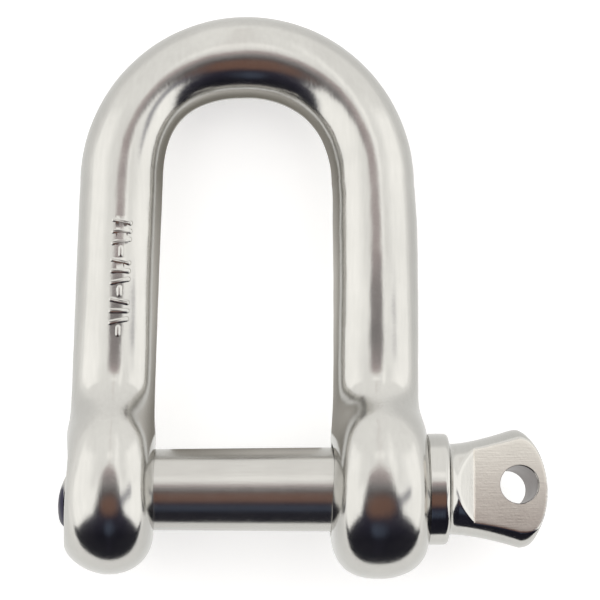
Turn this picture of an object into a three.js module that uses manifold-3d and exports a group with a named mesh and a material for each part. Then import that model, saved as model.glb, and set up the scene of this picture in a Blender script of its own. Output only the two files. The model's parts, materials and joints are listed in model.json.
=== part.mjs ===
// A dee shackle: a bow of round bar with two eyes, closed by a screw pin with a flat wing head.
// Millimetres. The shackle lies on its side on the plane Z = 0, as it would on a bench.
// X runs along the pin towards its head, Y runs from the pin towards the crown, Z is up.
// Each piece is made about the pin axis, with x = 0 near the middle of the gap between the eyes.

import * as THREE from 'three';
import { mergeVertices } from 'three/addons/utils/BufferGeometryUtils.js';
import Module from 'manifold-3d';

const wasm = await Module();
wasm.setup();

// ---------------------------------------------------------------- driving dimensions

const BAR_RADIUS = 3.8;
const HAUNCH_THINNING = 0.22; // the bar is drawn this much thinner where it bends most

const CROWN = { x: 0.37, y: 28.2, radius: 11.6 }; // centre and centreline radius of the U's bend

// An eye is a thick bead about the pin axis, flat where the pin passes and rounded to its rim.
// The powers shape the rounding: 2 is an ellipse, and less is fuller near the face and leaner at the rim.
const TAPPED_EYE = { x: -12.31, halfWidth: 4.09, radius: 7.8, outerPower: 1.65, innerPower: 1.65 };
const PLAIN_EYE = { x: 12.36, halfWidth: 4.52, radius: 8.2, outerPower: 1.65, innerPower: 1.95 };
const EYE_FLAT_RADIUS = 5.0;
const PLAIN_BORE_RADIUS = 4.25;
const SEAT = { x: 16.6, radius: 5.25 }; // the spot face on the plain eye that the collar bears on

// A leg runs from its eye to the crown, leans outwards and swells where it joins the eye.
const LEFT_LEG = { side: -1, splay: 1.05, power: 0.9 };
const RIGHT_LEG = { side: 1, splay: 0.16, power: 0.4 };
const LEG_END = 0.5;
const SWELL_FROM = 14;
const SWELL_TO = 3.5;
const SWELL_WIDTH = 0.15;
const SWELL_DEPTH = 2.5;

// M8 coarse thread, right hand.
const PITCH = 1.25;
const THREAD_MAJOR_RADIUS = 3.85;
const THREAD_DEPTH = 0.6;
const THREAD_CLEARANCE = 0.14;
const CREST_SHARE = 0.125; // of half a pitch, flat at the crest
const ROOT_SHARE = 0.75; // of half a pitch, where the root flat starts
const THREAD_CORE_RADIUS = THREAD_MAJOR_RADIUS - THREAD_DEPTH;
const TAP_MOUTH_RADIUS = 4.15;

const SHANK = { start: -8.3, startRadius: 3.7, taperEnd: 12.6, endRadius: 3.88 };
const TIP = { base: -16.4, end: -16.9, radius: 3.35, thread: -15.7 };

const SEAT_GAP = 0.05;
const COLLAR = { radius: 5.08, end: 18.67, edge: 0.4, chamfer: 0.15 };
const COLLAR_START = SEAT.x + SEAT_GAP;
const NECK = { radius: 4.13, start: 18.2, end: 20.4 };

// The wing is a round blank that flares in height, with a flat ground on each side.
const WING = { peak: 25.1, corner: 26.35, end: 27.69, endRadius: 8.53 };
const WING_HALF_HEIGHT = { peak: 5.37, corner: 4.6 };
const WING_HALF_DEPTH = 4.13;
const WING_TIP_FADE = 25.7; // from here to the end the blank's depth rounds off
const FLAT = { rampStart: 19.5, start: 21.1, halfThickness: 2.7 };
const WING_TURN = THREE.MathUtils.degToRad(-8); // with the pin screwed home
const SEIZING_HOLE = { x: 24.8, radius: 1.87, skew: THREE.MathUtils.degToRad(8) };

// The origin is the middle of the footprint, on the plane that the shackle lies on.
const PIN_AXIS = { x: -5.4, y: -17.58, z: PLAIN_EYE.radius };

const CUT_PAST = 0.6; // how far a cutter runs past the face it cuts
const QUARTER_TURN = Math.PI / 2;

// ---------------------------------------------------------------- mesh fineness

const BAR_SIDES = 20;
const CROWN_STEPS = 22;
const LEG_STEPS = 9;
const EYE_SIDES = 36;
const EYE_EDGE_STEPS = 7;
const PIN_SIDES = 28;
const THREAD_SIDES = 24;
const THREAD_ROWS_PER_PITCH = 8;
const WING_FLARE_STEPS = 8;
const WING_ARC_STEPS = 8;
const CORNER_STEPS = 4;
const DOME_STEPS = 4;

// ---------------------------------------------------------------- solids

/** Turns a closed geometry into a solid that can be joined and cut. */
function solid(geometry) {
  const bare = geometry.clone();
  bare.deleteAttribute('normal');
  bare.deleteAttribute('uv');
  const merged = mergeVertices(bare, 1e-4);
  const index = merged.index.array;
  const triangles = [];
  for (let i = 0; i < index.length; i += 3) {
    const [a, b, c] = [index[i], index[i + 1], index[i + 2]];
    if (a !== b && b !== c && c !== a) triangles.push(a, b, c);
  }
  return new wasm.Manifold(new wasm.Mesh({
    numProp: 3,
    vertProperties: new Float32Array(merged.attributes.position.array),
    triVerts: new Uint32Array(triangles),
  }));
}

/** Turns a solid back into a geometry for a mesh. */
function geometryOf(body) {
  const mesh = body.getMesh();
  const geometry = new THREE.BufferGeometry();
  geometry.setAttribute('position', new THREE.BufferAttribute(mesh.vertProperties, 3));
  geometry.setIndex(new THREE.BufferAttribute(mesh.triVerts, 1));
  geometry.computeVertexNormals();
  return geometry;
}

/** Moves each vertex of a geometry by a function that changes the vector it is given. */
function reshape(geometry, move) {
  const position = geometry.attributes.position;
  const point = new THREE.Vector3();
  for (let i = 0; i < position.count; i += 1) {
    point.fromBufferAttribute(position, i);
    move(point);
    position.setXYZ(i, point.x, point.y, point.z);
  }
  return geometry;
}

/** A solid of revolution about the X axis, from [x, radius] points that start and end on the axis. */
function turned(profile, sides) {
  const points = profile.map(([x, radius]) => new THREE.Vector2(radius, x));
  return new THREE.LatheGeometry(points, sides).rotateZ(-Math.PI / 2);
}

/** Evenly spaced values from 0 to 1, one more of them than the count of steps. */
function steps(count) {
  return Array.from({ length: count + 1 }, (_, i) => i / count);
}

// ---------------------------------------------------------------- bow

/** How far a leg has swollen towards its eye at a height y above the pin axis, from 0 to 1. */
function swell(y) {
  return 1 - THREE.MathUtils.smoothstep(y, SWELL_TO, SWELL_FROM);
}

/** The bar's section on a leg at height y: centre, outward direction, half width and half depth. */
function legStation(leg, y) {
  const lean = leg.splay * (1 - y / CROWN.y) ** leg.power;
  const x = CROWN.x + leg.side * (CROWN.radius + lean);
  return {
    centre: new THREE.Vector3(x, y, 0),
    outward: new THREE.Vector3(leg.side, 0, 0),
    halfWidth: BAR_RADIUS + SWELL_WIDTH * swell(y),
    halfDepth: BAR_RADIUS + SWELL_DEPTH * swell(y),
  };
}

/** The bar's section on the crown, at an angle from the top of the U. */
function crownStation(angle) {
  const thinning = HAUNCH_THINNING * Math.sin(2 * angle) ** 2;
  const outward = new THREE.Vector3(Math.sin(angle), Math.cos(angle), 0);
  return {
    centre: new THREE.Vector3(CROWN.x, CROWN.y, 0).addScaledVector(outward, CROWN.radius + thinning),
    outward,
    halfWidth: BAR_RADIUS - thinning,
    halfDepth: BAR_RADIUS,
  };
}

/** The bent bar: a cylinder whose rings are laid on the sections from the left eye to the right. */
function bentBar() {
  const legHeights = steps(LEG_STEPS).slice(0, -1).map((t) => LEG_END + t * (CROWN.y - LEG_END));
  const crownAngles = steps(CROWN_STEPS).map((t) => (t - 0.5) * Math.PI);
  const stations = [
    ...legHeights.map((y) => legStation(LEFT_LEG, y)),
    ...crownAngles.map(crownStation),
    ...legHeights.reverse().map((y) => legStation(RIGHT_LEG, y)),
  ];
  const last = stations.length - 1;
  return reshape(new THREE.CylinderGeometry(1, 1, 1, BAR_SIDES, last), (p) => {
    const station = stations[Math.round((0.5 - p.y) * last)];
    const { x, z } = p;
    p.copy(station.centre).addScaledVector(station.outward, x * station.halfWidth);
    p.z = z * station.halfDepth;
  });
}

/** One side of an eye's profile, from its flat face to its rim, as [x, radius] points. */
function eyeEdge(eye, direction, power) {
  const rounding = eye.radius - EYE_FLAT_RADIUS;
  return steps(EYE_EDGE_STEPS).map((t) => {
    const across = Math.cos(t * QUARTER_TURN) ** (2 / power);
    const out = Math.sin(t * QUARTER_TURN) ** (2 / power);
    return [eye.x + direction * eye.halfWidth * across, EYE_FLAT_RADIUS + rounding * out];
  });
}

/** An eye as a solid bead about the pin axis, before its hole. */
function eye(shape) {
  const outerIsRight = shape.x > 0;
  const leftEdge = eyeEdge(shape, -1, outerIsRight ? shape.innerPower : shape.outerPower);
  const rightEdge = eyeEdge(shape, 1, outerIsRight ? shape.outerPower : shape.innerPower);
  const rim = rightEdge.slice(0, -1).reverse();
  const profile = [
    [shape.x - shape.halfWidth, 0],
    ...leftEdge,
    ...rim,
    [shape.x + shape.halfWidth, 0],
  ];
  return turned(profile, EYE_SIDES);
}

// ---------------------------------------------------------------- thread

/** The height of the thread above its root, from 0 to 1, at a place along X and an angle about it. */
function threadHeight(x, angle) {
  const turns = x / PITCH - angle / (2 * Math.PI);
  const share = turns - Math.floor(turns);
  const fromCrest = 2 * Math.min(share, 1 - share);
  const down = (fromCrest - CREST_SHARE) / (ROOT_SHARE - CREST_SHARE);
  return 1 - THREE.MathUtils.clamp(down, 0, 1);
}

/** A threaded rod along X. Extra is added to its radius, and limit(x) caps the radius. */
function threadedRod(from, to, extra, limit) {
  const rows = Math.round(((to - from) / PITCH) * THREAD_ROWS_PER_PITCH);
  const rod = new THREE.CylinderGeometry(1, 1, to - from, THREAD_SIDES, rows);
  rod.translate(0, (from + to) / 2, 0).rotateZ(-Math.PI / 2);
  return reshape(rod, (p) => {
    if (Math.hypot(p.y, p.z) < 0.5) return;
    const angle = Math.atan2(p.z, p.y);
    const thread = THREAD_MAJOR_RADIUS - THREAD_DEPTH * (1 - threadHeight(p.x, angle)) + extra;
    const radius = Math.min(thread, limit(p.x));
    p.y = radius * Math.cos(angle);
    p.z = radius * Math.sin(angle);
  });
}

/** The countersink at one face of the tapped eye. */
function tapMouth(face, intoEye) {
  const depth = TAP_MOUTH_RADIUS - THREAD_CORE_RADIUS;
  const profile = [
    [face - intoEye * CUT_PAST, 0],
    [face - intoEye * CUT_PAST, TAP_MOUTH_RADIUS],
    [face, TAP_MOUTH_RADIUS],
    [face + intoEye * depth, THREAD_CORE_RADIUS],
    [face + intoEye * depth, 0],
  ];
  return turned(intoEye > 0 ? profile : profile.reverse(), PIN_SIDES);
}

/** What the tap takes out of the left eye: the thread with its running clearance, and both countersinks. */
function tapCut() {
  const left = TAPPED_EYE.x - TAPPED_EYE.halfWidth;
  const right = TAPPED_EYE.x + TAPPED_EYE.halfWidth;
  const thread = threadedRod(left - CUT_PAST, right + CUT_PAST, THREAD_CLEARANCE, () => Infinity);
  return solid(thread).add(solid(tapMouth(left, 1))).add(solid(tapMouth(right, -1)));
}

/** The plain eye's bore, widened into the spot face on its outer side. */
function plainBore() {
  const boreHalfLength = PLAIN_EYE.halfWidth + CUT_PAST;
  const start = PLAIN_EYE.x - boreHalfLength;
  const end = PLAIN_EYE.x + boreHalfLength;
  return turned([
    [start, 0],
    [start, PLAIN_BORE_RADIUS],
    [SEAT.x, PLAIN_BORE_RADIUS],
    [SEAT.x, SEAT.radius],
    [end, SEAT.radius],
    [end, 0],
  ], PIN_SIDES);
}

/** The bent bar with its two eyes, bored and tapped for the pin. */
function bow() {
  return geometryOf(
    solid(bentBar())
      .add(solid(eye(TAPPED_EYE)))
      .add(solid(eye(PLAIN_EYE)))
      .subtract(solid(plainBore()))
      .subtract(tapCut()),
  );
}

// ---------------------------------------------------------------- screw pin

/** The threaded end, with its domed tip standing just out of the left eye. */
function pinThread() {
  const leadSlope = (THREAD_MAJOR_RADIUS - TIP.radius) / (TIP.thread - TIP.base);
  const lead = (x) => TIP.radius + Math.max(0, x - TIP.base) * leadSlope;
  const rod = threadedRod(TIP.base, SHANK.start, 0, lead);
  const dome = steps(DOME_STEPS).map((t) => [
    TIP.base - (TIP.base - TIP.end) * Math.cos(t * QUARTER_TURN),
    TIP.radius * Math.sin(t * QUARTER_TURN),
  ]);
  const inRod = TIP.base + PITCH;
  const tip = turned([...dome, [inRod, THREAD_CORE_RADIUS], [inRod, 0]], THREAD_SIDES);
  return geometryOf(solid(rod).add(solid(tip)));
}

/** The plain shank, from the thread to the collar. */
function pinShank() {
  return turned([
    [SHANK.start, 0],
    [SHANK.start, SHANK.startRadius],
    [SHANK.taperEnd, SHANK.endRadius],
    [COLLAR_START, SHANK.endRadius],
    [COLLAR_START, 0],
  ], PIN_SIDES);
}

/** The collar that seats on the plain eye, running into the round neck. */
function collarAndNeck() {
  const { radius, end, edge, chamfer } = COLLAR;
  const corner = steps(CORNER_STEPS).map((t) => [
    end - edge + edge * Math.sin(t * QUARTER_TURN),
    radius - edge + edge * Math.cos(t * QUARTER_TURN),
  ]);
  return turned([
    [COLLAR_START, 0],
    [COLLAR_START, radius - chamfer],
    [COLLAR_START + chamfer, radius],
    ...corner,
    [end, NECK.radius],
    [NECK.end, NECK.radius],
    [NECK.end, 0],
  ], PIN_SIDES);
}

/** The wing's outline above the pin axis, from the neck to its end on the axis, as [x, height] points. */
function wingOutline() {
  const { peak, corner, end, endRadius } = WING;
  const flare = new THREE.CubicBezierCurve(
    new THREE.Vector2(NECK.start, NECK.radius),
    new THREE.Vector2(peak - 4.5, NECK.radius),
    new THREE.Vector2(peak - 2.6, WING_HALF_HEIGHT.peak - 0.1),
    new THREE.Vector2(peak, WING_HALF_HEIGHT.peak),
  );
  const shoulder = new THREE.QuadraticBezierCurve(
    new THREE.Vector2(peak, WING_HALF_HEIGHT.peak),
    new THREE.Vector2(peak + 0.9, WING_HALF_HEIGHT.peak),
    new THREE.Vector2(corner, WING_HALF_HEIGHT.corner),
  );
  const arcCentre = end - endRadius;
  const arcStart = Math.atan2(WING_HALF_HEIGHT.corner, corner - arcCentre);
  const arc = steps(WING_ARC_STEPS).map((t) => {
    const angle = arcStart * Math.cos(t * QUARTER_TURN);
    return new THREE.Vector2(arcCentre + endRadius * Math.cos(angle), endRadius * Math.sin(angle));
  });
  const points = [
    ...flare.getPoints(WING_FLARE_STEPS),
    ...shoulder.getPoints(CORNER_STEPS).slice(1),
    ...arc.slice(1),
  ];
  return points.map((p) => [p.x, p.y]);
}

/** The blank's half depth at a place along the pin. */
function wingDepth(x) {
  const fade = THREE.MathUtils.clamp((x - WING_TIP_FADE) / (WING.end - WING_TIP_FADE), 0, 1);
  return WING_HALF_DEPTH * Math.sqrt(1 - fade * fade);
}

/** The round blank of the wing, flared in height along Y and held to its depth along Z. */
function wingBlank() {
  const outline = wingOutline();
  const heights = new Map(outline.map(([x, height]) => [x.toFixed(3), height]));
  const blank = turned([[NECK.start, 0], ...outline], PIN_SIDES);
  return reshape(blank, (p) => {
    const height = heights.get(p.x.toFixed(3));
    if (height > 1e-3) p.z *= wingDepth(p.x) / height;
  });
}

/** The stock ground off one side of the wing: a ramp from the neck, then the flat. */
function groundAway(side) {
  const { rampStart, start, halfThickness } = FLAT;
  const past = 2;
  const section = new THREE.Shape([
    new THREE.Vector2(rampStart, WING_HALF_DEPTH),
    new THREE.Vector2(start, halfThickness),
    new THREE.Vector2(WING.end + past, halfThickness),
    new THREE.Vector2(WING.end + past, WING_HALF_DEPTH + past),
    new THREE.Vector2(rampStart, WING_HALF_DEPTH + past),
  ]);
  const height = 4 * WING_HALF_HEIGHT.peak;
  const cutter = new THREE.ExtrudeGeometry(section, { depth: height, bevelEnabled: false });
  cutter.translate(0, 0, -height / 2).rotateX(side * QUARTER_TURN);
  return cutter;
}

/** The small hole for seizing wire, drilled a little off square. */
function seizingHole() {
  const { x, radius, skew } = SEIZING_HOLE;
  return new THREE.CylinderGeometry(radius, radius, 5 * FLAT.halfThickness, PIN_SIDES)
    .rotateX(QUARTER_TURN)
    .rotateY(skew)
    .translate(x, 0, 0);
}

/** Collar, neck and wing in one solid. */
function pinHead() {
  return geometryOf(
    solid(collarAndNeck())
      .add(solid(wingBlank()))
      .subtract(solid(groundAway(1)))
      .subtract(solid(groundAway(-1)))
      .subtract(solid(seizingHole())),
  );
}

// ---------------------------------------------------------------- the shackle

/** A named mesh in polished stainless steel. */
function part(name, geometry, roughness) {
  const material = new THREE.MeshStandardMaterial({ color: 0xd6d3cb, metalness: 1, roughness });
  const mesh = new THREE.Mesh(geometry, material);
  mesh.name = name;
  return mesh;
}

const head = part('pin_head', pinHead(), 0.22);
head.rotation.x = WING_TURN;

// The shackle rests on the rim of its larger eye and on its crown, so the bow leans down to the crown.
const bowMesh = part('bow', bow(), 0.12);
bowMesh.rotation.x = -Math.asin((PLAIN_EYE.radius - BAR_RADIUS) / (CROWN.y + CROWN.radius));

const shackle = new THREE.Group();
shackle.add(bowMesh);
shackle.add(part('pin_shank', pinShank(), 0.1));
shackle.add(part('pin_thread', pinThread(), 0.2));
shackle.add(head);
shackle.position.set(PIN_AXIS.x, PIN_AXIS.y, PIN_AXIS.z);

export default shackle;
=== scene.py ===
"""The looks of a dee shackle: bow and screw pin, polished steel, pale floor, soft light, camera.

Shapes are worked out in millimetres about the pin axis: x runs along the pin towards its head,
y from the pin towards the crown, and z is up. Each piece is then placed in the frame, in metres.
"""

import json
import math

import bmesh
import bpy
import numpy as np
from mathutils import Matrix, Vector


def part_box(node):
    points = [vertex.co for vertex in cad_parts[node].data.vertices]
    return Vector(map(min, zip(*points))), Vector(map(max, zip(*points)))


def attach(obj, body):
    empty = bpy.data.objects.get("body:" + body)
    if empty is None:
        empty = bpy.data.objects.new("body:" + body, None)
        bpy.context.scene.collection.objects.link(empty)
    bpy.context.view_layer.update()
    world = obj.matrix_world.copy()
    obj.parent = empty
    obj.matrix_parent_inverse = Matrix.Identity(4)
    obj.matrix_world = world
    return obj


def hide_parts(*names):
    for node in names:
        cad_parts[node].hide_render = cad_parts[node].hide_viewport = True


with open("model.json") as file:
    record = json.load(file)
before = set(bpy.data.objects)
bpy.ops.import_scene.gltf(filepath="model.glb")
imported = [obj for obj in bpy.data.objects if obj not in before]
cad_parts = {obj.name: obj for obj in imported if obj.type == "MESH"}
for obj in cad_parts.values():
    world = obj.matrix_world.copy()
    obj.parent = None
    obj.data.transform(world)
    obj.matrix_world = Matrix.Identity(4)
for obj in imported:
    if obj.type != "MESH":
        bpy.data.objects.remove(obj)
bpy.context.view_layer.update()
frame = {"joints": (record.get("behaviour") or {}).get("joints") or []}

MM = 0.001

# ---------------------------------------------------------------- driving dimensions, mm

BOW_SIDES = 160  # points round every section of the bow
BAR_RADIUS = 3.8
HAUNCH_THINNING = {"left": 0.29, "right": 0.12}  # the bar is drawn thinner where it bends most
CROWN = {"x": 0.42, "y": 28.1, "half_width": 11.56, "height": 11.77}

# A leg leans out in a line towards its eye, with a slight belly below the crown.
LEFT_LEG = {"side": -1, "splay": 1.03, "power": 0.9, "belly": 0.0, "thicker": 0.0}
RIGHT_LEG = {"side": 1, "splay": 0.06, "power": 1.0, "belly": 0.19, "thicker": 0.1}
BELLY_POWER = 0.6  # below 1, it puts the belly in the upper half of the leg
THICKENING_LENGTH = 5.0  # how far below the crown a leg reaches its own thickness

# On its way down to the eye a leg is flattened a little from front to back, by the waist. Then its
# shoulders slope up on to the eye, a little later at its sides than in its middle, by the bow, and
# it swells a little sideways. Inside the eye it narrows, so that it doesn't swell the eye's faces.
WAIST = {"from": 21.5, "to": 9.3, "depth": 0.55}
SHOULDER = {"foot": 9.35, "slope": 0.7, "ease": 0.5, "depth": 3.15, "crest": 1.0, "bow": 0.4}
SWELL = {"from": 10.4, "to": 2.6, "width": 0.12}
INSIDE_EYE = {"width": {"least": 0.7, "rest": 0.3, "bottom": 0.0, "top": 5.0},
              "depth": {"least": 0.8, "rest": 0.2, "bottom": -1.0, "top": 3.0}}

# An eye is a bead about the pin axis: flat to the flat radius, then rounded to its rim.
# Each side has its own flat radius and two powers, one for the way across and one for the way out,
# and narrows by its taper where the leg leaves the eye.
LEFT_EYE = {"x": -12.25, "radius": 7.72,
            "outer": {"half": 4.09, "flat": 5.2, "across": 1.9, "out": 1.5, "taper": 0.52},
            "inner": {"half": 4.11, "flat": 2.5, "across": 1.97, "out": 3.0, "taper": 0.0}}
RIGHT_EYE = {"x": 12.43, "radius": 8.18,
             "outer": {"half": 4.5, "flat": 4.0, "across": 2.03, "out": 2.74, "taper": 0.25},
             "inner": {"half": 4.62, "flat": 2.35, "across": 2.7, "out": 3.0, "taper": 0.45}}
EYE_TOP_POWER = 2.25  # above the pin the eye is squarer than a circle, where the leg runs into it
EYE_FRONT_POWER = 0.5  # added to the across power on the faces that lie up and down
EYE_MIDDLE = 0.2  # the share of the half width over which the middle of an eye is evened out
EYE_TAPER = {"from": -3.0, "to": 6.0}  # the heights between which an eye's taper comes in
LEAST_SLOPE = 0.25  # keeps the eye's field tame near its middle, where it is flat
BLEND = {"side": 1.3, "front": 2.4}  # the fillet between leg and eye, at its sides and its front
RIPPLE = 0.005  # how uneven forging and polishing by hand leave the bow

# Raised marks on the left leg: how far up it they run, how many, and where they lie round it.
# Every fourth one is a dash along the leg.
MARK = {"from": 24.2, "to": 14.2, "count": 12, "around": 0.25, "half_length": 0.75, "slant": 0.16,
        "half_width": 0.25, "height": 0.09, "sunk": 0.3, "every": 4, "half_dash": 0.3}
MARK_EDGE = [(0.0, 0.0), (0.05, 0.5), (0.11, 0.85), (0.2, 1.0)]  # inset, and share of the height

BORE = {"radius": 4.25, "ease": 0.3}
SEAT = {"x": 16.6, "radius": 5.25, "relief": 0.2, "depth": 2.0, "draft": 0.3}
PITCH = 1.25
THREAD_MAJOR = 3.85
THREAD_DEPTH = 0.6
THREAD_CREST = 0.125  # the shares of half a pitch that the crest and the flank take up
THREAD_FLANK = 0.625
TAP_CLEARANCE = 0.09
TAP_MOUTH = {"radius": 4.2, "widest": 4.45}
OVERRUN = 0.6  # how far the tap's and the bore's tools run past the eyes' faces

PIN_SIDES = 256  # points round every section of the pin
LATHE_SIDES = 128  # and round the tools that cut the bore and the wing's hole
SHANK = {"start": -8.3, "start_radius": 3.7, "taper_end": 12.6, "end_radius": 3.88}
TIP = {"base": -16.4, "end": -16.9, "radius": 3.35, "thread": -15.7, "flatness": 7}
SHEAR = {"from": -1.8, "rise": 0.085, "most": 0.9, "reach": 3.0}
COLLAR = {"start": 16.65, "end": 18.67, "radius": 5.08, "left_edge": 0.3, "right_edge": 0.45}
COLLAR_FOOT = {"length": 0.1, "rise": 0.08, "face": 0.2}  # where the shank meets the collar
COLLAR_BAND_GAP = 0.1  # from the collar's plain band to its rounded edges
NECK_RADIUS = 4.13
NECK_FILLET = {"up": 0.8, "across": 0.35}
WING = {"start": 18.6, "peak": 25.1, "middle": 0.12, "half_height": 5.5, "half_depth": 4.13,
        "flare": 1.75, "ease": 0.25, "end": 27.66, "end_radius": 8.53, "end_y": -0.42,
        "end_bulge": 0.06, "corner": 1.1, "core": 24.0}
FLAT = {"ramp": 19.35, "start": 20.9, "half": 2.7, "edge": 0.18, "crown": 0.009}
WING_TURN = math.radians(-8)
HOLE = {"x": 24.65, "y": 0.17, "radius": 1.74, "skew": math.radians(8), "chamfer": 0.07,
        "overrun": 2.0, "flare": 0.05}

# ---------------------------------------------------------------- place in the frame

turn_joint = next(j for j in frame["joints"] if j["name"] == "pin_turn")
PIN_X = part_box("pin_head")[0].x - COLLAR["start"] * MM
PIN_AXIS = Vector((PIN_X, turn_joint["pos_m"][1], turn_joint["pos_m"][2]))
BOW_LEAN = -math.asin((RIGHT_EYE["radius"] - BAR_RADIUS) / (CROWN["y"] + CROWN["height"]))

TO_FRAME = Matrix.Translation(PIN_AXIS) @ Matrix.Scale(MM, 4)
BOW_PLACE = TO_FRAME @ Matrix.Rotation(BOW_LEAN, 4, "X")
PIN_PLACE = TO_FRAME @ Matrix.Rotation(WING_TURN, 4, "X")

# ---------------------------------------------------------------- mesh helpers


def smoothstep(value, low, high):
    t = np.clip((value - low) / (high - low), 0.0, 1.0)
    return t * t * (3.0 - 2.0 * t)


def join_soft(a, b, width):
    """The smaller of two fields, with the crease between them filled over a width."""
    near = np.clip(width - np.abs(a - b), 0.0, None) / width
    return np.minimum(a, b) - near ** 3 * width / 6.0


def cut_soft(a, b, width):
    """The larger of two fields, with the edge between them rounded over a width."""
    return -join_soft(-a, -b, width)


X_AXIS, Y_AXIS, Z_AXIS = np.eye(3)
HALVINGS = 34
LEG_REACH = 20.0  # rays this long end outside the bow from anywhere in a leg
WING_REACH = 12.0  # and these outside the wing
TINY = 0.01  # keeps a division finite where a distance falls to nothing


def cast(field, origin, direction, reach):
    """Where rays from inside a shape leave it, found by halving."""
    low = np.zeros(direction.shape[:-1])
    high = np.full(direction.shape[:-1], reach)
    for _ in range(HALVINGS):
        mid = 0.5 * (low + high)
        inside = field(origin + direction * mid[..., None]) < 0.0
        low = np.where(inside, mid, low)
        high = np.where(inside, high, mid)
    return origin + direction * high[..., None]


def ring_angles(sides):
    return np.linspace(0.0, 2.0 * math.pi, sides, endpoint=False)


def ring_directions(outward, count):
    """Unit directions round a section, from outward through +z."""
    angle = ring_angles(count)[:, None]
    return np.cos(angle) * outward + np.sin(angle) * Z_AXIS


def new_object(name, data):
    obj = bpy.data.objects.new(name, data)
    bpy.context.scene.collection.objects.link(obj)
    return obj


def make_object(name, verts, faces, place):
    mesh = bpy.data.meshes.new(name)
    mesh.from_pydata(verts, [], faces)
    obj = new_object(name, mesh)
    mesh.transform(place)
    work = bmesh.new()
    work.from_mesh(mesh)
    bmesh.ops.recalc_face_normals(work, faces=work.faces)
    work.to_mesh(mesh)
    work.free()
    return obj


def skin(rings, start, end):
    """The points and faces of a closed skin over a stack of rings, with a point at each end."""
    count, sides = rings.shape[:2]
    verts = [tuple(v) for v in rings.reshape(-1, 3)] + [tuple(start), tuple(end)]
    first, last = count * sides, count * sides + 1
    faces = []
    for i in range(count - 1):
        for j in range(sides):
            k = (j + 1) % sides
            faces.append((i * sides + j, i * sides + k, (i + 1) * sides + k, (i + 1) * sides + j))
    for j in range(sides):
        k = (j + 1) % sides
        faces.append((first, k, j))
        faces.append((last, (count - 1) * sides + j, (count - 1) * sides + k))
    return verts, faces


def loft(name, rings, start, end, place):
    return make_object(name, *skin(rings, start, end), place)


def round_ring(x, radius, angle):
    """A ring about the x axis, with one radius or one for each angle."""
    radius = np.broadcast_to(radius, angle.shape)
    return np.stack([np.full(len(angle), x), radius * np.cos(angle), radius * np.sin(angle)], 1)


def lathe(name, profile, place):
    """A solid of [x, radius] points turned about the x axis."""
    angle = ring_angles(LATHE_SIDES)
    rings = np.array([round_ring(x, radius, angle) for x, radius in profile])
    return loft(name, rings, profile[0][0] * X_AXIS, profile[-1][0] * X_AXIS, place)


def combine(target, tool, operation):
    """Joins the tool to the target or cuts it away, and removes the tool."""
    modifier = target.modifiers.new("combine", "BOOLEAN")
    modifier.operation = operation
    modifier.solver = "MANIFOLD"
    modifier.object = tool
    bpy.context.view_layer.update()
    result = bpy.data.meshes.new_from_object(
        target.evaluated_get(bpy.context.evaluated_depsgraph_get())
    )
    target.modifiers.clear()
    old = target.data
    target.data = result
    result.name = target.name
    bpy.data.meshes.remove(old)
    bpy.data.objects.remove(tool)


SHARP_ANGLE = math.radians(32)


def finish_shading(obj):
    """Smooth shading, with sharp edges left crisp."""
    obj.data.shade_smooth()
    obj.data.set_sharp_from_angle(angle=SHARP_ANGLE)


# ---------------------------------------------------------------- bow


def swell(y):
    return 1.0 - smoothstep(y, SWELL["to"], SWELL["from"])


def shoulder(y, across):
    """How much deeper a leg is where it slopes up on to its eye, a little later at its sides."""
    rise = SHOULDER["slope"] * (SHOULDER["foot"] - SHOULDER["bow"] * across ** 2 - y)
    rise = 0.5 * (rise + np.hypot(rise, SHOULDER["ease"]))
    return join_soft(rise, SHOULDER["depth"], SHOULDER["crest"])


def leg_centre(leg, y):
    down = np.clip(1.0 - y / CROWN["y"], 0.0, None)
    lean = leg["splay"] * down ** leg["power"]
    lean = lean + leg["belly"] * np.sin(math.pi * np.minimum(down, 1.0) ** BELLY_POWER)
    return CROWN["x"] + leg["side"] * (CROWN["half_width"] + lean)


def inside_eye(key, y):
    """The share of its width or depth that a leg keeps inside its eye."""
    share = INSIDE_EYE[key]
    return share["least"] + share["rest"] * smoothstep(y, share["bottom"], share["top"])


def leg_field(leg, p):
    """The bar of a leg, as roughly the distance from its surface."""
    y = p[..., 1]
    thicker = leg["thicker"] * smoothstep(CROWN["y"] - y, 0.0, THICKENING_LENGTH)
    width = (BAR_RADIUS + thicker + SWELL["width"] * swell(y)) * inside_eye("width", y)
    waist = WAIST["depth"] * (1.0 - smoothstep(y, WAIST["to"], WAIST["from"]))
    across = (p[..., 0] - leg_centre(leg, y)) / width
    depth = BAR_RADIUS - waist + shoulder(y, np.clip(across, -1.0, 1.0))
    depth = depth * inside_eye("depth", y)
    up = p[..., 2] / depth
    end = np.clip(-y, 0.0, None)
    return np.hypot(np.hypot(across, up) * width, end) - width


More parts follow.
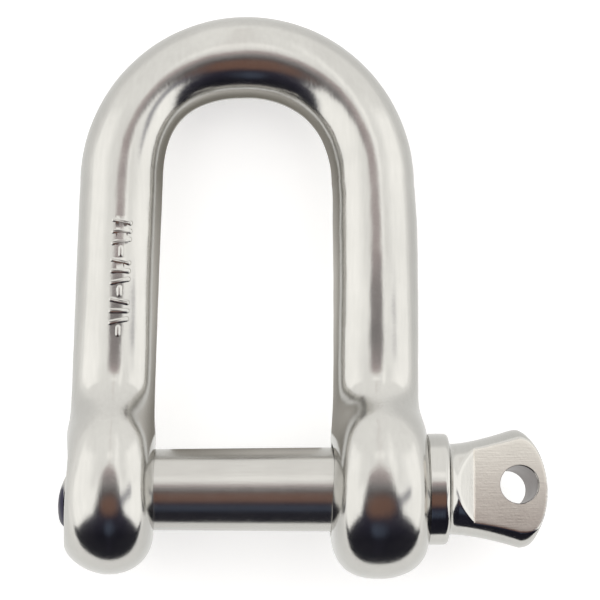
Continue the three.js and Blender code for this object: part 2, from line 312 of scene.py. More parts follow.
def eye_field(eye, side, p):
    """The bead of an eye, as roughly the distance from its surface."""
    y, z = np.abs(p[..., 1]), np.abs(p[..., 2])
    offset = p[..., 0] - eye["x"]
    is_outer = offset * side > 0.0

    def pick(key):
        return np.where(is_outer, eye["outer"][key], eye["inner"][key])

    taper = pick("taper") * smoothstep(p[..., 1], EYE_TAPER["from"], EYE_TAPER["to"])
    power = np.where((p[..., 1] > 0.0) & (p[..., 2] > 0.0), EYE_TOP_POWER, 2.0)
    radius = (y ** power + z ** power) ** (1.0 / power)
    half = pick("half") - taper
    depth = eye["radius"] - pick("flat")
    across = np.abs(offset) / half
    out = np.clip((radius - pick("flat")) / depth, 0.0, None)
    front = z ** 2 / (y ** 2 + z ** 2 + TINY)
    a, b = pick("across") + EYE_FRONT_POWER * front, pick("out")
    slope = np.hypot(a * across ** (a - 1.0) / half, b * out ** (b - 1.0) / depth)
    spread = np.hypot(across, EYE_MIDDLE) ** a - EYE_MIDDLE ** a
    return (spread + out ** b - 1.0) / np.maximum(slope, LEAST_SLOPE)


def ripple(p):
    """A slight unevenness: three waves, whose lengths and headings only have to differ."""
    x, y, z = p[..., 0], p[..., 1], p[..., 2]
    wave = np.sin(1.3 * y + 0.9 * x) * np.cos(1.1 * z - 0.5 * y)
    wave = wave + 0.6 * np.sin(2.3 * x - 1.7 * y + 1.9 * z) + 0.5 * np.sin(0.55 * y + 1.5 * x)
    return RIPPLE * wave


def roughened(rings):
    """Rings moved in or out from their middles by the ripple."""
    middle = rings.mean(axis=1, keepdims=True)
    out = rings - middle
    out = out / np.linalg.norm(out, axis=2, keepdims=True)
    return rings + out * ripple(rings)[..., None]


EYE_RINGS = 45
SHOULDER_RINGS = {"top": 12.0, "count": 49}
LEG_RINGS = 30
CROWN_RINGS = 91
SETTLE = 9.0  # the height over which the rings' middles move from the eye's to the leg's


def leg_rings(leg, eye):
    """Rings from the bottom of an eye up its leg, and the point below them."""
    side = leg["side"]
    centre = eye["x"] * X_AXIS

    def field(p):
        front = p[..., 2] ** 2 / (p[..., 2] ** 2 + (p[..., 0] - eye["x"]) ** 2 + TINY)
        width = BLEND["side"] + (BLEND["front"] - BLEND["side"]) * front
        return join_soft(eye_field(eye, side, p), leg_field(leg, p), width)

    flat = ring_directions(side * X_AXIS, BOW_SIDES)
    rings = []
    for t in np.linspace(0.0, 1.0, EYE_RINGS)[1:-1]:
        polar = t * math.pi / 2.0
        direction = math.sin(polar) * flat - math.cos(polar) * Y_AXIS
        rings.append(cast(field, centre, direction, LEG_REACH))
    bottom = cast(field, centre, -Y_AXIS[None, :], LEG_REACH)[0]
    heights = np.concatenate([
        np.linspace(0.0, SHOULDER_RINGS["top"], SHOULDER_RINGS["count"]),
        np.linspace(SHOULDER_RINGS["top"], CROWN["y"], LEG_RINGS)[1:-1],
    ])
    for y in heights:
        settle = float(smoothstep(y, 0.0, SETTLE))
        x = eye["x"] * (1.0 - settle) + float(leg_centre(leg, y)) * settle
        rings.append(cast(field, np.array([x, y, 0.0]), flat, LEG_REACH))
    return rings, bottom


def crown_rings():
    rings = []
    for angle in np.linspace(-math.pi / 2.0, math.pi / 2.0, CROWN_RINGS):
        thinning = HAUNCH_THINNING["left" if angle < 0.0 else "right"] * math.sin(2.0 * angle) ** 2
        outward = np.array([math.sin(angle), math.cos(angle), 0.0])
        reach = np.array([CROWN["half_width"] + thinning, CROWN["height"] + thinning, 0.0])
        centre = np.array([CROWN["x"], CROWN["y"], 0.0]) + outward * reach
        section = ring_directions(outward, BOW_SIDES)
        across = (BAR_RADIUS - thinning) * (section @ outward)
        up = BAR_RADIUS * section[:, 2]
        rings.append(centre + np.outer(across, outward) + np.outer(up, Z_AXIS))
    return rings


def thread_height(x, angle):
    """The height of the thread above its root, from 0 to 1."""
    share = np.mod(x / PITCH - angle / (2.0 * math.pi), 1.0)
    from_crest = 2.0 * np.minimum(share, 1.0 - share)
    return 1.0 - np.clip((from_crest - THREAD_CREST) / THREAD_FLANK, 0.0, 1.0)


TAP_SIDES = 96
TAP_RINGS = 190  # enough to carry the thread's profile along the axis


def tap_tool():
    """What the tap and its two countersinks take out of the left eye."""
    left = LEFT_EYE["x"] - LEFT_EYE["outer"]["half"]
    right = LEFT_EYE["x"] + LEFT_EYE["inner"]["half"]
    start, end = left - OVERRUN, right + OVERRUN
    angle = ring_angles(TAP_SIDES)
    rings = []
    for x in np.linspace(start, end, TAP_RINGS):
        height = thread_height(x, angle)
        radius = THREAD_MAJOR - THREAD_DEPTH * (1.0 - height) + TAP_CLEARANCE
        mouth = TAP_MOUTH["radius"] - min(x - left, right - x)
        radius = np.maximum(radius, min(mouth, TAP_MOUTH["widest"]))
        rings.append(round_ring(x, radius, angle))
    return loft("tap_tool", np.array(rings), start * X_AXIS, end * X_AXIS, TO_FRAME)


def bore_tool():
    """What the bore, its eased mouths and the collar's seat take out of the right eye."""
    start = RIGHT_EYE["x"] - RIGHT_EYE["inner"]["half"]
    radius, ease, relief = BORE["radius"], BORE["ease"], SEAT["relief"]
    profile = [
        [start - OVERRUN, radius + ease],
        [start, radius + ease],
        [start + ease, radius],
        [SEAT["x"] - relief, radius],
        [SEAT["x"], radius + relief],
        [SEAT["x"], SEAT["radius"]],
        [SEAT["x"] + SEAT["depth"], SEAT["radius"] + SEAT["draft"]],
    ]
    return lathe("bore_tool", profile, TO_FRAME)


def leg_point(along, around, lift):
    """A point over the left leg: along it, round it from +z towards +x, and above its surface."""
    radius = BAR_RADIUS + lift
    angle = around / BAR_RADIUS
    x = leg_centre(LEFT_LEG, along) + radius * math.sin(angle)
    return [float(x), along, radius * math.cos(angle)]


MARK_END_POINTS = 9  # round each end of a mark


def raised_mark(start, end):
    """A low rounded bar between two [along, around] points on the left leg, sunk into it."""
    start, end = np.array(start, float), np.array(end, float)
    heading = (end - start) / np.linalg.norm(end - start)
    aside = np.array([-heading[1], heading[0]])
    edge = [(0.0, -MARK["sunk"])] + [(inset, share * MARK["height"]) for inset, share in MARK_EDGE]
    rings = []
    for inset, lift in edge:
        reach = MARK["half_width"] - inset
        ring = []
        for centre, forward in ((end, 1.0), (start, -1.0)):
            for turn in np.linspace(-math.pi / 2.0, math.pi / 2.0, MARK_END_POINTS):
                out = math.cos(turn) * heading + math.sin(turn) * aside
                along, around = centre + forward * reach * out
                ring.append(leg_point(along, around, lift))
        rings.append(ring)
    rings = np.array(rings)
    return rings, rings[0].mean(0), rings[-1].mean(0)


def raised_marks():
    """A plain tally in place of lettering: bars across the leg in threes, and a dash after each."""
    verts, faces = [], []
    pitch = (MARK["from"] - MARK["to"]) / (MARK["count"] - 1)
    middle, half_length, half_dash = MARK["around"], MARK["half_length"], MARK["half_dash"]
    for i in range(MARK["count"]):
        along = MARK["from"] - i * pitch
        turn = i % MARK["every"]
        if turn == MARK["every"] - 1:
            ends = (along + half_dash, middle), (along - half_dash, middle)
        else:
            slant = MARK["slant"] * (turn - 1)
            ends = (along - slant, middle - half_length), (along + slant, middle + half_length)
        rings, first, last = raised_mark(*ends)
        part_verts, part_faces = skin(rings, first, last)
        faces += [tuple(v + len(verts) for v in face) for face in part_faces]
        verts += part_verts
    return make_object("raised_marks", verts, faces, BOW_PLACE)


def build_bow():
    left, left_bottom = leg_rings(LEFT_LEG, LEFT_EYE)
    right, right_bottom = leg_rings(RIGHT_LEG, RIGHT_EYE)
    rings = np.array(left + crown_rings() + right[::-1])
    bow = loft("bow_forging", roughened(rings), left_bottom, right_bottom, BOW_PLACE)
    combine(bow, raised_marks(), "UNION")
    combine(bow, tap_tool(), "DIFFERENCE")
    combine(bow, bore_tool(), "DIFFERENCE")
    return bow


# ---------------------------------------------------------------- screw pin


def wing_half_height(x):
    """Half height of the wing's blank along the pin, before its end is rounded off."""
    t = np.clip((x - WING["start"]) / (WING["peak"] - WING["start"]), 0.0, 1.0)
    flare = t ** WING["flare"] * (1.0 + WING["ease"] * (1.0 - t))
    return NECK_RADIUS + (WING["half_height"] - NECK_RADIUS) * flare


def wing_field(p):
    """The wing: a flared round blank, ended in an arc and ground flat on both sides."""
    x, y, z = p[..., 0], p[..., 1], np.abs(p[..., 2])
    depth = WING["half_depth"]
    middle = WING["middle"] * smoothstep(x, COLLAR["end"], WING["peak"])
    blank = (np.hypot((y - middle) / wing_half_height(x), z / depth) - 1.0) * depth
    end = np.hypot(x - (WING["end"] - WING["end_radius"]), y - WING["end_y"]) - WING["end_radius"]
    bulge = WING["end_bulge"] * (z / FLAT["half"]) ** 2
    shape = cut_soft(blank, end + bulge, WING["corner"])
    rise = (depth - FLAT["half"]) / (FLAT["start"] - FLAT["ramp"])
    slant = (z - depth + (x - FLAT["ramp"]) * rise) / math.hypot(1.0, rise)
    ground = np.where(x < FLAT["start"], slant, z - FLAT["half"] + FLAT["crown"] * y ** 2)
    return cut_soft(shape, ground, FLAT["edge"])


TIP_RINGS = 14
THREAD_RINGS = 170
SHANK_RINGS = 40
LEFT_EDGE_RINGS = 8
COLLAR_RINGS = 5
RIGHT_EDGE_RINGS = 10
NECK_RINGS = 52
WING_RINGS = 66
SEAM = 0.03  # keeps the thread's first and last rings off the rings next to them


def pin_profile():
    """[x, radius] points of the turned part of the pin between the thread and the wing."""
    points = []
    for x in np.linspace(SHANK["start"], SHANK["taper_end"], SHANK_RINGS):
        t = (x - SHANK["start"]) / (SHANK["taper_end"] - SHANK["start"])
        taper = t * (SHANK["end_radius"] - SHANK["start_radius"])
        points.append([x, SHANK["start_radius"] + taper])
    start, end, radius = COLLAR["start"], COLLAR["end"], COLLAR["radius"]
    left, right = COLLAR["left_edge"], COLLAR["right_edge"]
    points.append([start - COLLAR_FOOT["length"], SHANK["end_radius"]])
    points.append([start, SHANK["end_radius"] + COLLAR_FOOT["rise"]])
    points.append([start, radius - left - COLLAR_FOOT["face"]])
    for t in np.linspace(0.0, 1.0, LEFT_EDGE_RINGS):
        turn = t * math.pi / 2.0
        x = start + left * (1.0 - math.cos(turn))
        points.append([x, radius - left + left * math.sin(turn)])
    band = start + left + COLLAR_BAND_GAP, end - right - COLLAR_BAND_GAP
    for x in np.linspace(*band, COLLAR_RINGS):
        points.append([x, radius])
    for t in np.linspace(0.0, 1.0, RIGHT_EDGE_RINGS):
        turn = t * math.pi / 2.0
        x = end - right + right * math.sin(turn)
        points.append([x, radius - right + right * math.cos(turn)])
    return points


def fillet(distance, radius):
    """How far a quarter-round fillet stands proud, at a distance from the shoulder it fills."""
    left = max(0.0, 1.0 - distance / radius)
    return radius * (1.0 - math.sqrt(1.0 - left * left))


def shear_end(ring):
    """Sets the upper side of the thread's end back, as a sheared bar's is."""
    above = np.clip(ring[:, 1] - SHEAR["from"], 0.0, None)
    back = np.minimum(SHEAR["rise"] * above ** 2, SHEAR["most"])
    ring[:, 0] += back * (1.0 - smoothstep(ring[:, 0], TIP["end"], TIP["end"] + SHEAR["reach"]))
    return ring


def thread_rings():
    """Rings from the domed tip to the end of the thread."""
    angle = ring_angles(PIN_SIDES)
    rings = []
    for t in np.linspace(0.0, 1.0, TIP_RINGS)[1:]:
        out = math.sin(t * math.pi / 2.0)
        dome = 1.0 - out ** TIP["flatness"]
        x = TIP["base"] - (TIP["base"] - TIP["end"]) * dome
        rings.append(shear_end(round_ring(x, TIP["radius"] * out, angle)))
    lead_slope = (THREAD_MAJOR - TIP["radius"]) / (TIP["thread"] - TIP["base"])
    runout = SHANK["start"] - PITCH
    for x in np.linspace(TIP["base"] + SEAM, SHANK["start"] - SEAM, THREAD_RINGS):
        height = thread_height(x, angle + WING_TURN)
        fade = float(smoothstep(x, runout, SHANK["start"]))
        depth = THREAD_DEPTH * (1.0 - fade)
        crest = THREAD_MAJOR * (1.0 - fade) + SHANK["start_radius"] * fade
        thread = crest - depth * (1.0 - height)
        lead = TIP["radius"] + (x - TIP["base"]) * lead_slope
        rings.append(shear_end(round_ring(x, np.minimum(thread, lead), angle)))
    return rings


def wing_rings():
    """Rings from the collar along the neck and round the wing, and the point at its end."""
    start, core = COLLAR["end"], WING["core"]
    flat = ring_directions(Y_AXIS, PIN_SIDES)
    rings = []
    for x in np.linspace(start, core, NECK_RINGS):
        ring = cast(wing_field, x * X_AXIS, flat, WING_REACH)
        ring[:, 1] *= 1.0 + fillet(x - start, NECK_FILLET["across"]) / NECK_RADIUS
        ring[:, 2] *= 1.0 + fillet(x - start, NECK_FILLET["up"]) / NECK_RADIUS
        rings.append(ring)
    centre = core * X_AXIS
    for t in np.linspace(0.0, 1.0, WING_RINGS)[1:-1]:
        polar = math.pi / 2.0 * (1.0 - t)
        direction = math.sin(polar) * flat + math.cos(polar) * X_AXIS
        rings.append(cast(wing_field, centre, direction, WING_REACH))
    return rings, cast(wing_field, centre, X_AXIS[None, :], WING_REACH)[0]


def hole_tool():
    """What the drill and its chamfers take out of the wing."""
    radius, chamfer, half = HOLE["radius"], HOLE["chamfer"], FLAT["half"]
    mouth = radius + chamfer
    profile = [
        [-half - HOLE["overrun"], mouth + HOLE["flare"]],
        [-half, mouth],
        [-half + chamfer, radius],
        [half - chamfer, radius],
        [half, mouth],
        [half + HOLE["overrun"], mouth + HOLE["flare"]],
    ]
    drilled = (PIN_PLACE @ Matrix.Translation((HOLE["x"], HOLE["y"], 0.0))
               @ Matrix.Rotation(HOLE["skew"], 4, "Y") @ Matrix.Rotation(math.pi / 2, 4, "Y"))
    return lathe("hole_tool", profile, drilled)


def build_pin():
    angle = ring_angles(PIN_SIDES)
    turned = [round_ring(x, radius, angle) for x, radius in pin_profile()]
    wing, wing_end = wing_rings()
    tip = shear_end(TIP["end"] * X_AXIS[None, :])[0]
    pin = loft("screw_pin", np.array(thread_rings() + turned + wing), tip, wing_end, PIN_PLACE)
    combine(pin, hole_tool(), "DIFFERENCE")
    return pin


# ---------------------------------------------------------------- materials


class Nodes:
    """A short way to write a node tree."""

    def __init__(self, tree):
        self.tree = tree
        tree.nodes.clear()

    def add(self, kind, inputs=None, **settings):
        node = self.tree.nodes.new(kind)
        for key, value in settings.items():
            setattr(node, key, value)
        for key, value in (inputs or {}).items():
            if isinstance(value, bpy.types.NodeSocket):
                self.tree.links.new(value, node.inputs[key])
            else:
                node.inputs[key].default_value = value
        return node

    def math(self, operation, a, b=0.0, c=0.0, clamp=False):
        node = self.add("ShaderNodeMath", {0: a, 1: b, 2: c}, operation=operation, use_clamp=clamp)
        return node.outputs[0]

    def ramp(self, value, stops):
        """A colour ramp through (place, colour or grey) stops."""
        node = self.add("ShaderNodeValToRGB", {0: value})
        ramp = node.color_ramp
        while len(ramp.elements) < len(stops):
            ramp.elements.new(0.5)
        for element, (place, colour) in zip(ramp.elements, stops):
            element.position = place
            if isinstance(colour, (int, float)):
                colour = (colour, colour, colour)
            element.color = (*colour, 1.0)
        return node.outputs[0]

    def noise(self, vector, scale, detail=3.0, rough=0.5):
        node = self.add("ShaderNodeTexNoise", {
            "Vector": vector, "Scale": scale, "Detail": detail, "Roughness": rough,
        })
        return node.outputs[0]

    def above(self, value, edge, width):
        """0 below an edge and 1 above it, with a straight slope between over a width."""
        return self.math("MULTIPLY_ADD", value, 1.0 / width, 0.5 - edge / width, clamp=True)

    def below(self, value, edge, width):
        """1 below an edge and 0 above it."""
        return self.math("SUBTRACT", 1.0, self.above(value, edge, width))

    def mix(self, factor, a, b):
        """A mix of two colours, each a socket or three numbers."""
        a, b = (c if isinstance(c, bpy.types.NodeSocket) else (*c, 1.0) for c in (a, b))
        node = self.add("ShaderNodeMix", {"Factor": factor, 6: a, 7: b}, data_type="RGBA")
        return node.outputs[2]

    def mix_shaders(self, factor, a, b):
        return self.add("ShaderNodeMixShader", {0: factor, 1: a, 2: b}).outputs[0]

    def stretched(self, vector, scale):
        node = self.add("ShaderNodeMapping", {"Vector": vector, "Scale": scale})
        return node.outputs[0]


def new_material(name):
    material = bpy.data.materials.new(name)
    material.use_nodes = True
    return material, Nodes(material.node_tree)


def millimetres(n):
    """Places on a piece, in millimetres about the pin axis."""
    place = n.add("ShaderNodeTexCoord").outputs["Object"]
    moved = n.add("ShaderNodeVectorMath", {0: place, 1: tuple(PIN_AXIS)}, operation="SUBTRACT")
    return n.stretched(moved.outputs[0], (1.0 / MM,) * 3)


# Each finish has its base colour, the range of its roughness, how finely its grain repeats per mm
# along x, y and z, the height of its relief in mm, and how much its scuffs show.
POLISHED = (0.585, 0.575, 0.55)
GRIND = {"rough": (0.28, 0.46), "grain": (0.45, 7.0, 7.0), "bump": 0.022, "scuffs": 0.08}
FINISHES = {
    "bow": {"base": POLISHED, "rough": (0.10, 0.23), "grain": (3.0, 0.25, 3.0), "bump": 0.008,
            "scuffs": 0.08},
    "head": {"base": POLISHED, "rough": (0.08, 0.19), "grain": (6.0, 0.3, 0.3), "bump": 0.005,
             "scuffs": 0.12},
    "shank": {"base": POLISHED, "rough": (0.17, 0.27), "grain": (0.3, 6.0, 6.0), "bump": 0.006,
              "scuffs": 0.04},
    "ground": {"base": (0.70, 0.67, 0.62), **GRIND},
    # the flats' -y half: darker and browner than the ground finish
    "darker_flat_half": {"base": (0.60, 0.55, 0.505), **GRIND},
    # the hole's wall: rougher than the polish, with a base colour far darker than steel's, which is
    # painted shade inside the hole
    "drilled": {"base": (0.19, 0.165, 0.16), "rough": (0.25, 0.4), "grain": (3.0, 3.0, 0.5),
                "bump": 0.01, "scuffs": 0.0},
    # the tip: near black with a blue cast, far darker than steel, as painted shade
    "painted_dark_tip": {"base": (0.035, 0.033, 0.060), "rough": (0.3, 0.5), "grain": (3.0, 3.0, 3.0),
             "bump": 0.01, "scuffs": 0.0},
}
TONE = {"drift": 0.7, "lines": 0.3, "from": 0.35, "to": 0.65, "darkest": 0.9}
RELIEF = {"lines": 0.6, "peel": 0.5}
SCRATCH = {"axis": (0.3, 0.2, 1.0), "turn": 0.9, "grain": (0.35, 9.0, 9.0),
           "from": 0.66, "to": 0.72}


def steel(n, place, base, rough, grain, bump, scuffs):
    """Steel: faint colour drift, smudges, lines along the grain, scuffs and a soft orange peel."""
    drift = n.noise(place, scale=0.16)
    smudge = n.noise(place, scale=0.6, detail=5.0, rough=0.6)
    lines = n.noise(n.stretched(place, grain), scale=1.0, detail=4.0, rough=0.6)
    peel = n.noise(place, scale=4.0)
    tilted = n.add("ShaderNodeVectorRotate", {
        "Vector": place, "Axis": SCRATCH["axis"], "Angle": SCRATCH["turn"],
    })
    scratch = n.noise(n.stretched(tilted.outputs[0], SCRATCH["grain"]), scale=1.0, detail=2.0)
    scratch = n.ramp(scratch, [(SCRATCH["from"], 0.0), (SCRATCH["to"], 1.0)])
    tone = n.math("ADD", n.math("MULTIPLY", drift, TONE["drift"]),
                  n.math("MULTIPLY", lines, TONE["lines"]))
    darker = tuple(c * TONE["darkest"] for c in base)
    colour = n.ramp(tone, [(TONE["from"], darker), (TONE["to"], base)])
    low, high = rough
    roughness = n.math("MULTIPLY_ADD", smudge, high - low, low)
    roughness = n.math("MULTIPLY_ADD", scratch, scuffs, roughness)
    height = n.math("MULTIPLY_ADD", lines, RELIEF["lines"],
                    n.math("MULTIPLY", peel, RELIEF["peel"]))
    height = n.math("MULTIPLY_ADD", scratch, -scuffs, height)
    relief = n.add("ShaderNodeBump", {"Height": height, "Strength": 1.0, "Distance": bump * MM})
    shader = n.add("ShaderNodeBsdfPrincipled", {
        "Base Color": colour, "Metallic": 1.0, "Roughness": roughness, "Normal": relief.outputs[0],
    })
    return shader.outputs[0]


def bow_material():
    material, n = new_material("bow_polish")
    shader = steel(n, millimetres(n), **FINISHES["bow"])
    n.add("ShaderNodeOutputMaterial", {"Surface": shader})
    return material


# Where one finish on the pin gives way to another: how far past the shape's own edge, and over
# what width.
CHANGES = {
    "head": {"past": 0.0, "width": 0.1},
    "flat_side": {"past": -0.015, "width": 0.02},
    "flat_start": {"past": -0.05, "width": 0.1},
    "darker_flat_half": {"past": 0.0, "width": 6.0},
    "hole": {"past": 0.05, "width": 0.03},
    "tip": {"past": 0.1, "width": 0.2},
    "tip_side": {"past": 0.1, "width": 0.8},
}


def pin_material():
    """A polished head and a satin shank, but for the ground flats, the hole, its wall darkened as
    painted shade, and the tip, painted near black on its -y half as painted shade.
    """
    material, n = new_material("pin_polish")
    place = millimetres(n)

    def finish(name):
        return steel(n, place, **FINISHES[name])

    def beyond(value, edge, change):
        """0 on the near side of a change of finish and 1 beyond it."""
        return n.above(value, edge + CHANGES[change]["past"], CHANGES[change]["width"])

    def short_of(value, edge, change):
        return n.math("SUBTRACT", 1.0, beyond(value, edge, change))

    turned = n.add("ShaderNodeVectorRotate", {"Vector": place, "Angle": -WING_TURN},
                   rotation_type="X_AXIS")
    along, across, up = n.add("ShaderNodeSeparateXYZ", {0: turned.outputs[0]}).outputs
    # the wing's height above the middle, with the slight crown of its flats taken out
    square = n.math("MULTIPLY", across, across)
    height = n.math("MULTIPLY_ADD", square, FLAT["crown"], n.math("ABSOLUTE", up))
    on_flat = n.math("MULTIPLY", beyond(height, FLAT["half"], "flat_side"),
                     beyond(along, FLAT["start"], "flat_start"))
    hole_x = n.math("MULTIPLY_ADD", up, -math.tan(HOLE["skew"]), along)
    from_axis = n.add("ShaderNodeCombineXYZ", {
        0: n.math("SUBTRACT", hole_x, HOLE["x"]), 1: n.math("SUBTRACT", across, HOLE["y"]),
    })
    from_axis = n.add("ShaderNodeVectorMath", {0: from_axis.outputs[0]}, operation="LENGTH")
    in_hole = short_of(from_axis.outputs["Value"], HOLE["radius"], "hole")
    # painted shade on the tip, on its -y half only
    on_tip = n.math("MULTIPLY", short_of(along, TIP["base"], "tip"),
                    short_of(across, 0.0, "tip_side"))
    on_head = beyond(along, COLLAR["start"], "head")
    # the flats go from the ground finish on their +y half to the darker colour on their -y half,
    # over 6 mm
    flats = n.mix_shaders(beyond(across, 0.0, "darker_flat_half"), finish("darker_flat_half"), finish("ground"))
    shader = n.mix_shaders(on_head, finish("shank"), finish("head"))
    shader = n.mix_shaders(on_flat, shader, flats)
    # painted shade: the hole's wall takes its dark colour
    shader = n.mix_shaders(in_hole, shader, finish("drilled"))
    # the tip takes the near-black painted shade
    shader = n.mix_shaders(on_tip, shader, finish("painted_dark_tip"))
    n.add("ShaderNodeOutputMaterial", {"Surface": shader})
    return material


# ---------------------------------------------------------------- floor and room

# The floor is a lit table, which keeps its shadows pale. Lengths are in metres.
FLOOR = {"reach": 3.0, "roughness": 0.8, "glow": 0.45}
FLOOR_GRAIN = {"scale": 40.0, "tones": [(0.3, 0.93), (0.7, 0.95)]}


def flat_sheet(name, outline, lift):
    mesh = bpy.data.meshes.new(name)
    mesh.from_pydata([(x, y, lift) for x, y in outline], [], [tuple(range(len(outline)))])
    return new_object(name, mesh)


def build_floor():
    reach = FLOOR["reach"]
    corners = [(-reach, -reach), (reach, -reach), (reach, reach), (-reach, reach)]
    floor = flat_sheet("floor", corners, 0.0)
    material, n = new_material("pale_floor")
    place = n.add("ShaderNodeTexCoord").outputs["Object"]
    tone = n.ramp(n.noise(place, FLOOR_GRAIN["scale"]), FLOOR_GRAIN["tones"])
    shader = n.add("ShaderNodeBsdfPrincipled", {
        "Base Color": tone, "Roughness": FLOOR["roughness"],
        "Emission Color": tone, "Emission Strength": FLOOR["glow"],
    })
    n.add("ShaderNodeOutputMaterial", {"Surface": shader.outputs[0]})
    floor.data.materials.append(material)


# Directions in the room are laid out as on a mirror ball seen from above: u is towards +X and v
# towards +Y. Straight up is the middle of the ball, and the horizon is a circle at 0.71 of its
# radius. Places, half widths and fades below are measured there, as shares of the ball's radius.
# A blot is an oval there. Its fade is a share of its own size.
ROOM_LIGHT = 1.5
BLACK = (0.0, 0.0, 0.0)
WHITE = (1.0, 0.995, 0.975)
DIM = (0.008, 0.008, 0.013)
DUSK = (0.022, 0.021, 0.034)

# The far side of the ceiling is a little greyer in the middle, and more widely so further out.
GREY = {"start": 0.05, "start_fade": 0.12, "half_width": 0.34, "side_fade": 0.14, "darker": 0.19,
        "widens_at": 0.42, "widens_over": 0.25, "widens_by": 0.7}
BLOT_FADE = 0.8
STRIP = {"middle": (0.15, 0.2), "half": (0.035, 0.25), "brighter": 0.25}
LAMP = {"middle": (0.0, 0.28), "half": (0.05, 0.05), "brighter": 0.5}

# The near side is dim, and its edge falls away from the middle.
NEAR_SIDE = {"edge": -0.145, "falls": 0.47, "fade": 0.06}
NEAR_TONES = [(-0.52, DIM), (-0.34, DUSK), (-0.20, (0.05, 0.045, 0.065))]

# A dark stand is in front of it, with a brown panel, a small blue one and a boom to the right.
STAND_TONES = [(-0.34, DUSK), (-0.20, (0.030, 0.029, 0.042)), (-0.03, (0.085, 0.080, 0.085)),
               (0.045, (0.21, 0.20, 0.20)), (0.12, (0.38, 0.32, 0.32)), (0.17, (0.55, 0.51, 0.49))]
STAND_HALF_WIDTHS = [(-0.36, 0.0), (-0.25, 0.24), (-0.12, 0.19), (-0.02, 0.16), (0.05, 0.14),
                     (0.12, 0.11), (0.15, 0.06), (0.17, 0.0)]
STAND_FADE = 0.06
BROWN_PANEL = {"middle": (0.0, -0.17), "half": (0.13, 0.12), "tone": (0.152, 0.086, 0.066)}
BLUE_PANEL = {"middle": (0.0, -0.43), "half": (0.05, 0.08), "tone": (0.05, 0.062, 0.09)}
BOOM = {"slope": 0.57, "drop": 0.23, "half_height": 0.06, "fade": 0.07, "left": 0.15, "right": 0.42,
        "top": 0.06, "left_fade": 0.05, "right_fade": 0.06, "top_fade": 0.05, "share": 0.75,
        "tone": (0.09, 0.09, 0.125)}


def build_world():
    """A white room with a dim near side and a dark stand in front of it."""
    world = bpy.data.worlds.new("room")
    bpy.context.scene.world = world
    world.use_nodes = True
    n = Nodes(world.node_tree)
    direction = n.add("ShaderNodeTexCoord").outputs["Generated"]
    x, y, z = n.add("ShaderNodeSeparateXYZ", {0: direction}).outputs
    reach = n.math("SQRT", n.math("MAXIMUM", n.math("MULTIPLY_ADD", z, 2.0, 2.0), TINY))
    u = n.math("DIVIDE", x, reach)
    v = n.math("DIVIDE", y, reach)
    aside = n.math("ABSOLUTE", u)
    by_v = n.math("MULTIPLY_ADD", v, 0.5, 0.5)

    def along_v(stops):
        """A ramp through (v, tone) stops."""
        return n.ramp(by_v, [(place * 0.5 + 0.5, tone) for place, tone in stops])

    def blot(shape):
        """1 inside an oval, fading to 0 at its edge."""
        (u0, v0), (half_u, half_v) = shape["middle"], shape["half"]
        du = n.math("MULTIPLY_ADD", u, 1.0 / half_u, -u0 / half_u)
        dv = n.math("MULTIPLY_ADD", v, 1.0 / half_v, -v0 / half_v)
        square = n.math("MULTIPLY_ADD", du, du, n.math("MULTIPLY", dv, dv))
        return n.below(n.math("SQRT", square), 1.0, BLOT_FADE)

    widening = n.above(v, GREY["widens_at"], GREY["widens_over"])
    inward = n.math("MULTIPLY_ADD", widening, -GREY["widens_by"], aside)
    grey = n.math("MULTIPLY", n.above(v, GREY["start"], GREY["start_fade"]),
                  n.below(inward, GREY["half_width"], GREY["side_fade"]))
    light = n.math("MULTIPLY_ADD", grey, -GREY["darker"], 1.0)
    for glow in (STRIP, LAMP):
        light = n.math("MULTIPLY_ADD", blot(glow), glow["brighter"], light)
    colour = n.mix(light, BLACK, WHITE)
    edge = n.math("MULTIPLY_ADD", aside, NEAR_SIDE["falls"], v)
    colour = n.mix(n.below(edge, NEAR_SIDE["edge"], NEAR_SIDE["fade"]), colour, along_v(NEAR_TONES))
    inside = n.math("SUBTRACT", along_v(STAND_HALF_WIDTHS), aside)
    colour = n.mix(n.above(inside, 0.0, STAND_FADE), colour, along_v(STAND_TONES))
    for panel in (BROWN_PANEL, BLUE_PANEL):
        colour = n.mix(blot(panel), colour, panel["tone"])
    rise = n.math("MULTIPLY_ADD", u, -BOOM["slope"], n.math("ADD", v, BOOM["drop"]))
    boom = n.below(n.math("ABSOLUTE", rise), BOOM["half_height"], BOOM["fade"])
    for end in (
        n.above(u, BOOM["left"], BOOM["left_fade"]),
        n.below(v, BOOM["top"], BOOM["top_fade"]),
        n.below(u, BOOM["right"], BOOM["right_fade"]),
    ):
        boom = n.math("MULTIPLY", boom, end)
    colour = n.mix(n.math("MULTIPLY", boom, BOOM["share"]), colour, BOOM["tone"])
    background = n.add("ShaderNodeBackground", {"Color": colour, "Strength": ROOM_LIGHT})
    n.add("ShaderNodeOutputWorld", {"Surface": background.outputs[0]})


# ---------------------------------------------------------------- cards, painted reflections

# Each card glows and is seen only in the polish: painted reflection of the floor, and painted
# shade.
# A card's tone changes from inner to outer at a distance, turn, from the middle of the shackle,
# over a width, fade. Lengths are in metres, but for the inner card's edge, which is in mm.
CARD_HALF = 2.9
# painted reflection of the floor, seen only in the polish: darker near the shackle as painted
# shade, paler further out
PAINTED_FLOOR_REFLECTION = {"lift": 0.0003, "inner": (0.60, 0.60, 0.59), "outer": (0.80, 0.795, 0.78),
             "turn": 0.050, "fade": 0.050}
# a dark sheet on the near side, seen only in the polish: painted shade
NEAR_PAINTED_SHADE = {"lift": 0.0005, "inner": DIM, "outer": DIM, "turn": 1.0, "fade": 1.0}
NEAR_EDGE = {"gap": 0.0427, "left": -0.090, "right": 0.080, "far_y": -2.0}
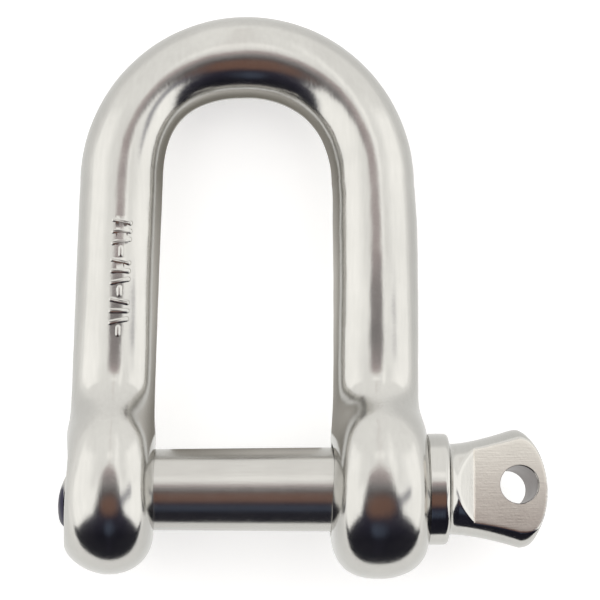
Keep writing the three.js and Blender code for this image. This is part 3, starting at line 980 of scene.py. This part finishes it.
# a grey sheet inside the shackle, seen only in the polish: painted shade of the floor under the bow
INNER_PAINTED_SHADE = {"lift": 0.0005, "inner": (0.46, 0.445, 0.42), "outer": (0.17, 0.16, 0.14),
              "turn": 0.009, "fade": 0.012}
INNER_EDGE = {"half_width": 7.0, "low": 5.0, "high": 5.5, "corner": (4.0, 3.0)}


def build_painted_reflection(name, outline, look):
    """A glowing card flat on the floor, seen only in the polish: a painted reflection."""
    card = flat_sheet(name, outline, look["lift"])
    material, n = new_material(name)
    place = n.add("ShaderNodeTexCoord").outputs["Object"]
    away = n.add("ShaderNodeVectorMath", {0: place}, operation="LENGTH").outputs["Value"]
    colour = n.mix(n.above(away, look["turn"], look["fade"]), look["inner"], look["outer"])
    shader = n.add("ShaderNodeEmission", {"Color": colour, "Strength": ROOM_LIGHT})
    n.add("ShaderNodeOutputMaterial", {"Surface": shader.outputs[0]})
    card.data.materials.append(material)
    card.visible_camera = False
    card.visible_diffuse = False
    card.visible_shadow = False
    card.visible_transmission = False


def build_painted_reflections():
    """Painted reflections: a pale card all round, darker near the shackle as painted shade, a dark
    one on its near side and a small grey one in the shackle, both painted shade.
    """
    half = CARD_HALF
    build_painted_reflection("painted_floor_reflection", [(-half, -half), (half, -half), (half, half), (-half, half)], PAINTED_FLOOR_REFLECTION)
    near, far = PIN_AXIS.y - NEAR_EDGE["gap"], NEAR_EDGE["far_y"]
    build_painted_reflection("near_painted_shade", [
        (-half, -half), (half, -half), (half, far), (NEAR_EDGE["right"], near),
        (NEAR_EDGE["left"], near), (-half, far),
    ], NEAR_PAINTED_SHADE)
    left, right = CROWN["x"] - INNER_EDGE["half_width"], CROWN["x"] + INNER_EDGE["half_width"]
    low, high = INNER_EDGE["low"], CROWN["y"] + INNER_EDGE["high"]
    corner_x, corner_y = INNER_EDGE["corner"]
    corners = [(left, low), (right, low), (right, high - corner_y), (right - corner_x, high),
               (left + corner_x, high), (left, high - corner_y)]
    corners = [(PIN_AXIS.x + x * MM, PIN_AXIS.y + y * MM) for x, y in corners]
    build_painted_reflection("inner_painted_shade", corners, INNER_PAINTED_SHADE)


# ---------------------------------------------------------------- camera

# In metres: the point looked at, from the shapes' origin on the pin axis, how far above it and to
# its side the camera is, and how wide the picture is there.
VIEW = {"target": (0.00516, 0.0173, 0.0), "above": 0.400, "aside": -0.01416, "width": 0.0548}
SENSOR_WIDTH = 36.0


def build_camera():
    """Straight down on the shackle from well above, a little to the left of it."""
    camera = bpy.data.cameras.new("camera")
    obj = new_object("camera", camera)
    target = PIN_AXIS + Vector(VIEW["target"])
    place = target + Vector((VIEW["aside"], 0.0, VIEW["above"]))
    view = target - place
    up = -view.cross(Vector(X_AXIS)).normalized()
    back = -view.normalized()
    right = up.cross(back)
    obj.matrix_world = Matrix.Translation(place) @ Matrix((right, up, back)).transposed().to_4x4()
    camera.sensor_width = SENSOR_WIDTH
    camera.lens = SENSOR_WIDTH * view.length / VIEW["width"]
    camera.clip_start = 0.01
    camera.clip_end = 20.0
    bpy.context.scene.camera = obj


def main():
    bow = build_bow()
    pin = build_pin()
    for piece, material in ((bow, bow_material()), (pin, pin_material())):
        finish_shading(piece)
        piece.data.materials.clear()
        piece.data.materials.append(material)
    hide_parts("bow")
    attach(bow, "bow")
    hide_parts("pin_shank", "pin_thread", "pin_head")
    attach(pin, "head")
    build_floor()
    build_painted_reflections()
    build_world()
    build_camera()
    bpy.context.scene.view_settings.view_transform = "Standard"


main()
